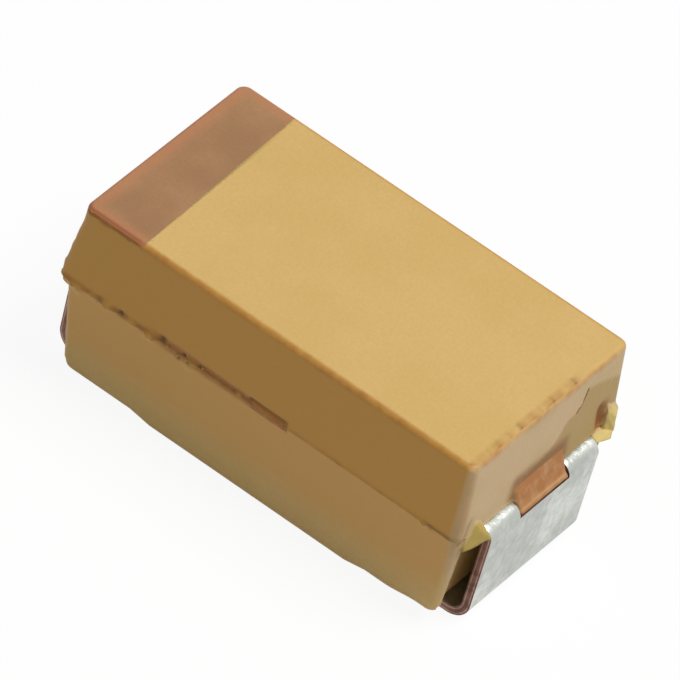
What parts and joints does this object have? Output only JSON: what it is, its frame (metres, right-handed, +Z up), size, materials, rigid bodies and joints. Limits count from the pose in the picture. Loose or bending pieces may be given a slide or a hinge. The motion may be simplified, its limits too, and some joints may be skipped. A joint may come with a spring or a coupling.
{
  "type": "tantalum capacitor",
  "caption": "Moulded tantalum chip capacitor: drafted gold epoxy case with a polarity bar and folded flat terminals round a wired, coated pellet.",
  "frame": {"origin": "centre of the footprint, in the plane of the board that the feet stand on", "axes": "+X towards the cathode end (the polarity bar marks the anode, at -X), +Y across the width, +Z up from the board"},
  "size_m": [0.0062, 0.0032, 0.0028],
  "materials": {
    "case_resin": "moulded epoxy, matte, light gold",
    "marked_resin": "marked epoxy, matte brown",
    "tinned_strip": "matte tin on lead-frame strip",
    "tantalum_wire": "drawn tantalum, grey",
    "washer": "white fluoropolymer",
    "sintered_tantalum": "porous sintered metal",
    "dioxide": "dull black oxide",
    "carbon": "dark grey carbon coat",
    "silver_coat": "dull silver paint",
    "silver_bond": "silver-filled adhesive"
  },
  "bodies": {
    "root": {"case": "case_resin", "polarity_bar": "marked_resin", "anode_lead": "tinned_strip", "cathode_lead": "tinned_strip", "riser_wire": "tantalum_wire", "wire_washer": "washer", "pellet": "sintered_tantalum", "manganese_dioxide": "dioxide", "graphite": "carbon", "silver_paint": "silver_coat", "silver_adhesive": "silver_bond"}
  },
  "joints": []
}
